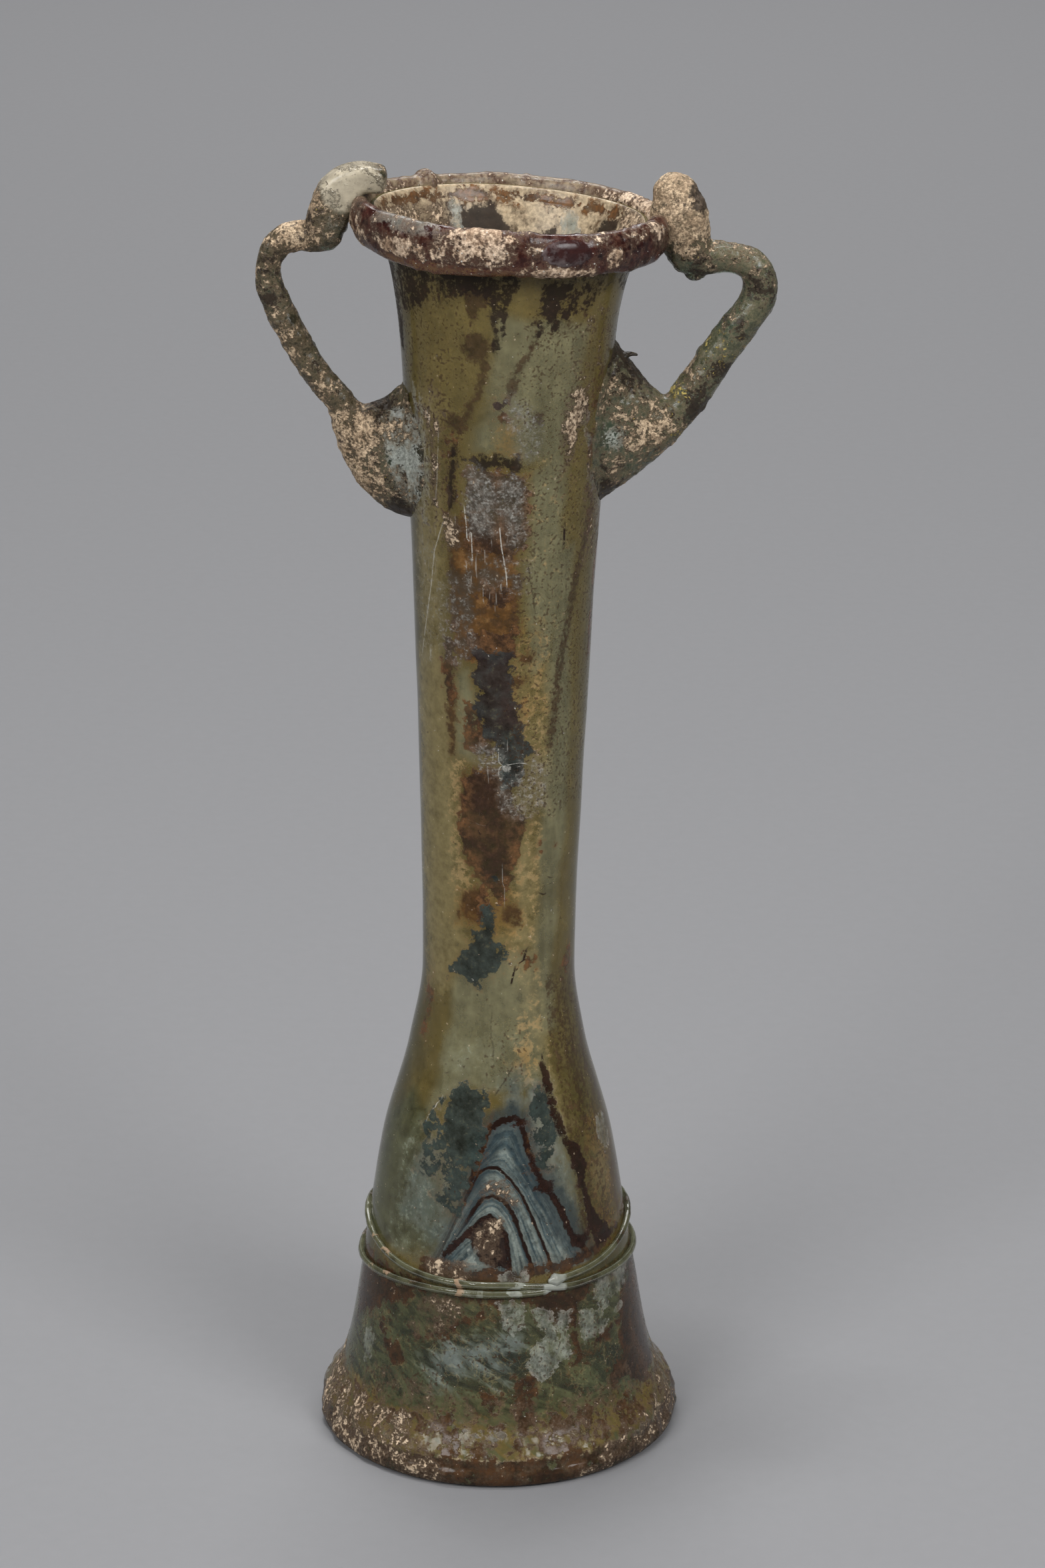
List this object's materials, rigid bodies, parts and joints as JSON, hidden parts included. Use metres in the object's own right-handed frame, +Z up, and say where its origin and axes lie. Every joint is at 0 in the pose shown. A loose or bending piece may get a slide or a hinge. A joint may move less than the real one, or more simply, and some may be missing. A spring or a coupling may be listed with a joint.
{
  "type": "handled glass flask",
  "caption": "Tall hollow ancient glass flask with a flared foot, a thread wound round the body, a thick coil round the lip and a looped handle on each side of the neck.",
  "frame": {"origin": "middle of the whole flask seen from above, at the level of its standing ring", "axes": "+Z up the neck, +X towards the thicker handle, -Y towards the front"},
  "size_m": [0.0706, 0.053, 0.1856],
  "materials": {
    "olive_glass": "weathered translucent olive glass with brown and cream decay",
    "aubergine_glass": "dark red-brown glass with pitted cream crust",
    "green_thread_glass": "glossy green-olive glass",
    "blue_green_glass": "weathered blue-green glass with tan crust",
    "teal_glass": "weathered teal glass with tan crust"
  },
  "bodies": {
    "root": {"vessel": "olive_glass", "rim_coil": "aubergine_glass", "body_thread": "green_thread_glass", "handle_left": "blue_green_glass", "handle_right": "teal_glass"}
  },
  "joints": []
}
